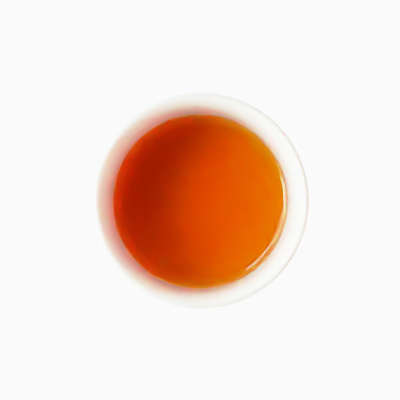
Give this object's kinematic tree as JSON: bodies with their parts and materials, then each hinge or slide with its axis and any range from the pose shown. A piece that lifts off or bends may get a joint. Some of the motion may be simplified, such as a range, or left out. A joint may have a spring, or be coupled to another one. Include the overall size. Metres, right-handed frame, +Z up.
{
  "type": "cup of black tea",
  "caption": "White porcelain cup without a handle, flared at the lip and standing on a foot ring, two thirds full of clear amber-red black tea.",
  "frame": {"origin": "centre of the plane that the foot ring rests on", "axes": "+Z up along the cup's axis; +X to the right and +Y to the top of the picture, which looks down on the cup"},
  "size_m": [0.08, 0.08, 0.048],
  "materials": {
    "porcelain": "smooth white glaze",
    "tea": "clear amber-red liquid"
  },
  "bodies": {
    "root": {"cup": "porcelain", "tea": "tea"}
  },
  "joints": []
}
